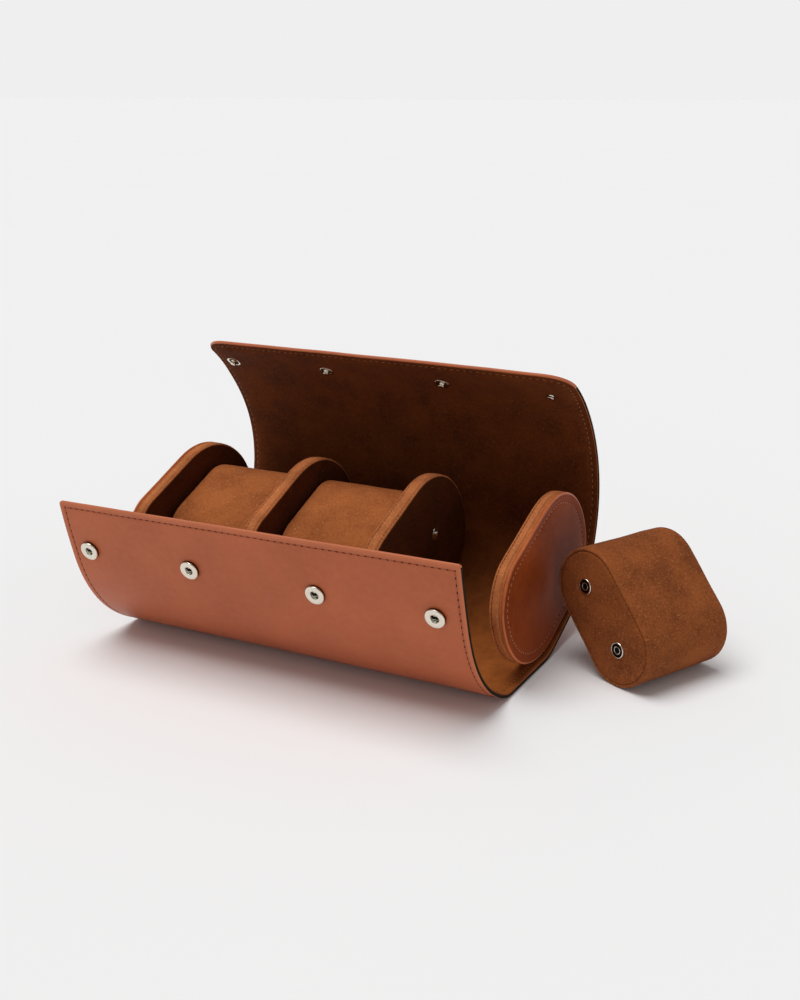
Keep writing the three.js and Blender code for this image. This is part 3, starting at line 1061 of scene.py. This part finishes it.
add_divider("left_divider", divider_x(0), -1)
add_divider("inner_divider_1", divider_x(1), 0)
add_divider("inner_divider_2", divider_x(2), 0)
add_divider("right_divider", divider_x(3), 1)

# ---- cushions ----

CUSHION_SEAM_INSET = 1.7
CUSHION_SEAM_PITCH = 2.4
SEAM_ACROSS = 0.62
END_CROWN = 0.35
# The cover's moves are carried over whole, except along the cushion, where they are halved.
CARRIED_SHARE = [1, 1, 0.5]
STUFFING_SHRINK = 1.0
HELD_END = 2.5
VOXEL = 3.2
LARGEST_SWELL = 1.7
SIMULATION_FRAMES = 20
CLOTH_PRESSURE = 4.0


def cushion_profile():
    """From inside the snap end's seam, along the sleeve, to inside the far end's seam."""
    end = [
        (5.0, 0.0), (3.0, 0.03), (2.3, 0.12), (CUSHION_SEAM_INSET + 0.25, 0.38),
        (CUSHION_SEAM_INSET, SEAM_ACROSS), (CUSHION_SEAM_INSET - 0.25, 0.36), (1.1, 0.12),
        (0.75, 0.12), (0.35, 0.4), (0.1, 0.9), (0.0, 1.6),
    ]
    sleeve = [(0.0, across) for across in np.linspace(3, CUSHION_LENGTH - 3, 24)]
    far_end = [(inset, CUSHION_LENGTH - across) for inset, across in reversed(end)]
    return [*end, *sleeve, *far_end]


def swelling(seed):
    """Where a stuffed cushion's cover moves to: start points and moves, from a cloth run."""
    block_profile = [(STUFFING_SHRINK, across) for across in np.linspace(1, CUSHION_LENGTH - 1, 12)]
    points, faces = plate_shell(CUSHION_HALF_SIZE, CUSHION_CORNERS, block_profile, 6, (0, 0))
    points = points + 0.35 * soft_noise(points, 13, seed)[:, None] * [1, 1, 0]
    pad = build_mesh("pad_in_work", points, faces, [CUSHION_SUEDE])
    bpy.context.view_layer.objects.active = pad
    pad.select_set(True)
    remesh = pad.modifiers.new("even", "REMESH")
    remesh.mode = "VOXEL"
    remesh.voxel_size = VOXEL * MM
    bpy.ops.object.modifier_apply(modifier=remesh.name)
    start = np.array([v.co for v in pad.data.vertices]) / MM

    # The two end panels are stiff, so their middles hold still.
    held = pad.vertex_groups.new(name="held")
    ends = np.nonzero((start[:, 2] < HELD_END) | (start[:, 2] > CUSHION_LENGTH - HELD_END))[0]
    held.add(ends.tolist(), 1.0, "REPLACE")
    cloth = pad.modifiers.new("cover", "CLOTH")
    settings = cloth.settings
    settings.quality = 6
    settings.mass = 0.25
    settings.tension_stiffness = 12
    settings.compression_stiffness = 12
    settings.shear_stiffness = 4
    settings.bending_stiffness = 0.4
    settings.use_pressure = True
    settings.uniform_pressure_force = CLOTH_PRESSURE
    settings.vertex_group_mass = held.name
    settings.effector_weights.gravity = 0
    cloth.point_cache.frame_start = 1
    cloth.point_cache.frame_end = SIMULATION_FRAMES
    for number in range(1, SIMULATION_FRAMES + 1):
        bpy.context.scene.frame_set(number)
    graph = bpy.context.evaluated_depsgraph_get()
    evaluated = pad.evaluated_get(graph).to_mesh()
    moved = np.array([v.co for v in evaluated.vertices]) / MM
    pad.evaluated_get(graph).to_mesh_clear()
    mesh = pad.data
    bpy.data.objects.remove(pad)
    bpy.data.meshes.remove(mesh)
    bpy.context.scene.frame_set(1)
    moves = moved - start
    lengths = np.linalg.norm(moves, axis=1, keepdims=True)
    capped = LARGEST_SWELL * np.tanh(lengths / LARGEST_SWELL)
    return start, moves * capped / np.maximum(lengths, 1e-9)


def carried(points, start, moves):
    """The moves of the nearest start points, averaged smoothly onto other points."""
    tree = KDTree(len(start))
    for i, point in enumerate(start):
        tree.insert(point, i)
    tree.balance()
    result = np.zeros_like(points)
    for i, point in enumerate(points):
        near = tree.find_n(point, 9)
        weights = np.array([1 / (distance + 1.2) ** 3 for _, _, distance in near])
        result[i] = weights @ moves[[index for _, index, _ in near]] / weights.sum()
    return result


def add_cushion(name, basis, origin, seed, material=CUSHION_SUEDE):
    """A suede sleeve on a foam core, seamed to a stiff panel at each end."""
    profile = cushion_profile()
    points, faces = plate_shell(CUSHION_HALF_SIZE, CUSHION_CORNERS, profile, 9, (-END_CROWN, END_CROWN))
    start, moves = swelling(seed)
    grown = points + carried(points, start, moves) * CARRIED_SHARE
    grown += 0.22 * soft_noise(points, 17, seed + 4)[:, None] * [1, 1, 0.3]

    def place(local):
        return np.asarray(local) @ basis.T + origin

    cushion = build_mesh(f"{name}_suede", place(grown), faces, [material])
    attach(cushion, name)
    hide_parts(f"{name}_cover", f"{name}_core", f"{name}_snap_panel", f"{name}_plain_panel")

    # Thread in the seam of each end, sunk as far as the cover there has moved.
    seams = Parts()
    seam_path = plate_outline(CUSHION_HALF_SIZE, CUSHION_CORNERS, CUSHION_SEAM_INSET)
    for across, facing in ((SEAM_ACROSS, -1), (CUSHION_LENGTH - SEAM_ACROSS, 1)):
        stitches = list(plate_stitches(seam_path, CUSHION_SEAM_PITCH, basis))
        middles = np.array([(*stitch[0], across) for stitch in stitches])
        middles += carried(middles, start, moves) * CARRIED_SHARE
        outward = basis @ np.array([0, 0, facing])
        for middle, (_, direction, _, step) in zip(middles, stitches):
            centre = place([middle])[0] + outward * 0.2
            add_thread(seams, centre, direction, outward, 0.7 * step, CUSHION_SEAM)
    piece = seams.build(f"{name}_seam_thread", [BROWN_THREAD])
    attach(piece, name)


def rotation_z(angle):
    turn = math.radians(angle)
    return np.array([
        [math.cos(turn), -math.sin(turn), 0],
        [math.sin(turn), math.cos(turn), 0],
        [0, 0, 1],
    ])


for index in range(2):
    wall = divider_x(index) + DIVIDER_THICKNESS / 2
    origin = seat_points([(0, CUSHION_RISE, 0)], wall + CUSHION_STANDOFF)[0]
    add_cushion(f"cushion_{index + 1}", seat_basis, origin, index + 1)

corner = CUSHION_CORNERS[0]
lean = math.radians(LOOSE_LEAN)
loose_z = (
    corner
    + (CUSHION_HALF_SIZE[0] - corner) * math.sin(lean)
    + (CUSHION_HALF_SIZE[1] - corner) * math.cos(lean)
)
loose_basis = rotation_z(LOOSE_YAW) @ cross_basis(LOOSE_LEAN)
loose_origin = np.array([LOOSE_X, LOOSE_Y, loose_z])
# The loose cushion's darker suede is painted shade.
add_cushion("cushion_3", loose_basis, loose_origin, 3, LOOSE_CUSHION_SHADED_SUEDE)

# ---- snap fasteners ----

LATHE_STEPS = 40


def lathe(profile):
    """A turned form from (radius, height) pairs, from its base's middle to its top's."""
    rings = [(radius, height) for radius, height in profile if radius > 0]
    points = []
    for radius, height in rings:
        for i in range(LATHE_STEPS):
            angle = 2 * math.pi * i / LATHE_STEPS
            points.append((radius * math.cos(angle), radius * math.sin(angle), height))
    points += [(0, 0, profile[0][1]), (0, 0, profile[-1][1])]
    return np.array(points), hubbed_faces(len(rings), LATHE_STEPS)


def around(direction):
    """A basis whose third axis points along a direction."""
    third = np.array(direction, float)
    third /= np.linalg.norm(third)
    helper = np.array([1.0, 0, 0]) if abs(third[0]) < 0.9 else np.array([0, 1.0, 0])
    second = np.cross(third, helper)
    second /= np.linalg.norm(second)
    return np.stack([np.cross(second, third), second, third], axis=1)


# Turned profiles, and the dark zones in a socket, as ranges of radius and of height: painted shade in
# the holes and on a cap's lower wall, and a painted dark reflection on an eyelet's sunk floor.
CAP_SOCKET = [
    (0, -0.1), (4.5, -0.1), (4.9, 0.05), (5.0, 0.3), (4.97, 1.0), (4.95, 1.45), (4.8, 1.72),
    (4.5, 1.86), (3.6, 1.92), (2.8, 1.9), (2.4, 1.84), (2.1, 1.6), (2.0, 1.2), (1.95, 0.5),
    (1.5, 0.2), (0, 0.2),
]
EYELET_SOCKET = [
    (0, -0.1), (3.7, -0.1), (4.0, 0.1), (4.1, 0.5), (4.0, 0.85), (3.75, 0.98), (3.45, 0.88),
    (3.2, 0.55), (2.7, 0.45), (2.3, 0.5), (2.05, 0.78), (1.85, 0.88), (1.6, 0.76), (1.45, 0.55),
    (1.35, 0.42), (0, 0.4),
]
STUD = [
    (0, -0.1), (3.6, -0.1), (4.0, 0.1), (4.1, 0.4), (3.9, 0.7), (3.5, 0.72), (2.6, 0.42),
    (1.7, 0.4), (1.1, 0.95), (1.12, 1.3), (1.45, 1.6), (1.65, 1.9), (1.55, 2.2), (1.15, 2.42),
    (0.5, 2.52), (0, 2.54),
]
CAP_PAINTED_SHADE = [(0, 1.8, 0, 0.6), (4.8, 6, -1, 1.1)]
EYELET_PAINTED_SHADE = [(0, 1.6, 0, 0.7), (2.1, 3.35, 0, 0.72)]
SMALL_STUD = [(radius * 0.84, height * 0.62) for radius, height in STUD]

# Spring bars across a front socket's mouth: offset, height and length.
FRONT_BARS = [(-1.0, 0.55, 2.8), (1.0, 0.55, 2.8)]

# Heights of the CAD snaps, and how far a snap is pressed into leather and into suede.
FRONT_SOCKET_HEIGHT = 1.9
REAR_STUD_HEIGHT = 2.2
SLOT_STUD_HEIGHT = 1.5
CUSHION_SOCKET_HEIGHT = 0.9
WRAP_SINK = 0.3
SUEDE_SINK = 0.2


def add_snap(name, node, body, direction, profile, seat_depth, bars=(), dark=()):
    """A turned snap, seated at a depth below the middle of its CAD node."""
    low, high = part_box(node)
    outward = np.array(direction, float) / np.linalg.norm(direction)
    basis = around(outward)
    middle = (np.array(low) + np.array(high)) / 2 / MM
    seat = middle - outward * seat_depth
    points, faces = lathe(profile)
    parts = Parts()
    parts.add(list(points @ basis.T + seat), faces)
    for offset, height, length in bars:
        centre = basis @ np.array([0, offset, height]) + seat
        add_thread(parts, centre, basis[:, 0], outward, length, SPRING_BAR)
    piece = parts.build(name, [NICKEL, NICKEL_PAINTED_SHADE])
    # Faces in a socket's dark zones take the dark nickel, painted shade.
    for polygon in piece.data.polygons:
        local = (np.array(polygon.center) / MM - seat) @ basis
        radius, height = math.hypot(local[0], local[1]), local[2]
        for inner, outer, bottom, top in dark:
            if inner < radius < outer and bottom < height < top:
                polygon.material_index = 1
    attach(piece, body)
    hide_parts(node)


def wrap_outward(along, side):
    slope = wrap_slope(along)
    return np.array([0, math.sin(slope), -math.cos(slope)]) * side


front_out = wrap_outward(FRONT_EDGE + SOCKET_FROM_FRONT_EDGE, 1)
rear_in = wrap_outward(REAR_EDGE - STUD_FROM_REAR_EDGE, -1)
for number in range(1, 5):
    add_snap(
        f"front_snap_{number}", f"front_socket_{number}", "front_upper", front_out,
        CAP_SOCKET, FRONT_SOCKET_HEIGHT / 2 + WRAP_SINK, FRONT_BARS, CAP_PAINTED_SHADE,
    )
    add_snap(
        f"rear_snap_{number}", f"rear_stud_{number}", "rear_upper", rear_in,
        STUD, REAR_STUD_HEIGHT / 2 + WRAP_SINK,
    )

for number in range(1, 4):
    for place in ("front", "rear"):
        add_snap(
            f"slot_{number}_snap_{place}", f"slot_{number}_stud_{place}", "base",
            (1, 0, 0), SMALL_STUD, SLOT_STUD_HEIGHT / 2 + SUEDE_SINK,
        )

for number in range(1, 4):
    snap_end = (-1, 0, 0) if number < 3 else -loose_basis[:, 2]
    for place in ("front", "rear"):
        add_snap(
            f"cushion_{number}_snap_{place}", f"cushion_{number}_socket_{place}",
            f"cushion_{number}", snap_end, EYELET_SOCKET,
            CUSHION_SOCKET_HEIGHT / 2 + SUEDE_SINK, dark=EYELET_PAINTED_SHADE,
        )

# ---- stage, light and camera ----

FLOOR_HALF = 40.0
# The floor is a little lower than the object, so that their faces don't coincide.
FLOOR_HEIGHT = -0.0003

floor_mesh = bpy.data.meshes.new("floor")
floor_corners = [(-1, -1), (1, -1), (1, 1), (-1, 1)]
floor_points = [(x * FLOOR_HALF, y * FLOOR_HALF, FLOOR_HEIGHT) for x, y in floor_corners]
floor_mesh.from_pydata(floor_points, [], [(0, 1, 2, 3)])
floor = add_object("floor", floor_mesh)
floor_finish = Finish("floor_paint", Specular_IOR_Level=0.0)
floor_clouds = floor_finish.noise(400, 2)
floor_finish.colour(floor_finish.mix(floor_clouds, srgb(243, 243, 243), srgb(245, 245, 245)))
floor_finish.roughness(0.9)
floor_mesh.materials.append(floor_finish.material)

# The studio's walls are as pale as the floor, and its ceiling is dimmer.
WALL_LIGHT = 0.863
CEILING_LIGHT = 0.30
WALL_TOP = math.sin(math.radians(7))
CEILING_FROM = math.sin(math.radians(22))

world = bpy.data.worlds.new("studio")
studio = Nodes(world)
gaze = studio.node("TexCoord").outputs["Generated"]
gaze_height = studio.node("SeparateXYZ", Vector=gaze).outputs["Z"]
brightness = studio.spread(gaze_height, WALL_TOP, CEILING_FROM, WALL_LIGHT, CEILING_LIGHT)
background = studio.nodes["Background"]
background.inputs["Color"].default_value = (1.0, 1.0, 1.0, 1.0)
studio.put(brightness, background.inputs["Strength"])
bpy.context.scene.world = world

box_middle = (cad_box[0] + cad_box[1]) / 2


def direction_from(azimuth, elevation):
    """Unit vector away from the object. Azimuth 0 is in front, 90 is to the right."""
    turn, rise = math.radians(azimuth), math.radians(elevation)
    flat = math.cos(rise)
    return Vector((math.sin(turn) * flat, -math.cos(turn) * flat, math.sin(rise)))


# The key is far away, so that the floor is evenly lit.
KEY_STRENGTH = 2.05
KEY_AZIMUTH = -55
KEY_ELEVATION = 75
KEY_SIZE = math.radians(45)

key = bpy.data.lights.new("key", "SUN")
key.energy = KEY_STRENGTH
key.angle = KEY_SIZE
key_holder = add_object("key", key)
key_aim = -direction_from(KEY_AZIMUTH, KEY_ELEVATION)
key_holder.rotation_euler = key_aim.to_track_quat("-Z", "Y").to_euler()

CAMERA_AZIMUTH = 27.57
CAMERA_ELEVATION = 17.13
CAMERA_DISTANCE = 0.667
AIM_FROM_MIDDLE = Vector((-0.0063, -0.0003, 0.0073))
LENS = 47.87
SENSOR = 36.0

camera_data = bpy.data.cameras.new("camera")
camera_data.lens = LENS
camera_data.sensor_width = SENSOR
camera_data.clip_start = 0.01
camera = add_object("camera", camera_data)
back = direction_from(CAMERA_AZIMUTH, CAMERA_ELEVATION)
camera.location = box_middle + AIM_FROM_MIDDLE + back * CAMERA_DISTANCE
camera.rotation_euler = (-back).to_track_quat("-Z", "Y").to_euler()
bpy.context.scene.camera = camera
bpy.context.scene.view_settings.view_transform = "Standard"
